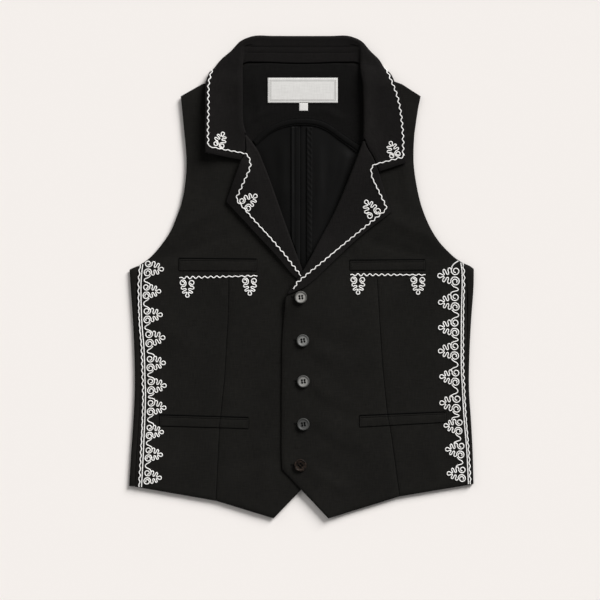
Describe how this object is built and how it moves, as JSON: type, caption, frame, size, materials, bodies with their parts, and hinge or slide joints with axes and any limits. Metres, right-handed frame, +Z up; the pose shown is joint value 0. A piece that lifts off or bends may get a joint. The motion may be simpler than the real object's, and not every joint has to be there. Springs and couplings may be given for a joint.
{
  "type": "embroidered waistcoat laid flat",
  "caption": "Notch-lapel waistcoat, buttoned and laid flat on its back, with welt pockets, neck facing and a pointed hem.",
  "frame": {"origin": "centre of the bounding box, on the surface that it lies on", "axes": "+Y from the hem to the collar, +X towards the wearer's left, +Z up out of the front"},
  "size_m": [0.4832, 0.6755, 0.0164],
  "materials": {
    "suiting": "matte plain weave",
    "lining_satin": "satin",
    "label_satin": "woven satin",
    "horn": "polished"
  },
  "bodies": {
    "root": {"back_left": "suiting", "back_right": "suiting", "front_left": "suiting", "front_right": "suiting", "collar": "suiting", "lapel_left": "suiting", "lapel_right": "suiting", "back_facing": "suiting", "facing_binding": "suiting", "breast_welt_left": "suiting", "breast_welt_right": "suiting", "hip_welt_left": "suiting", "hip_welt_right": "suiting", "lining_left": "lining_satin", "lining_right": "lining_satin", "seam_allowance_left": "lining_satin", "seam_allowance_right": "lining_satin", "neck_label": "label_satin", "size_tab": "label_satin", "button_1": "horn", "button_2": "horn", "button_3": "horn", "button_4": "horn", "button_5": "horn"}
  },
  "joints": []
}
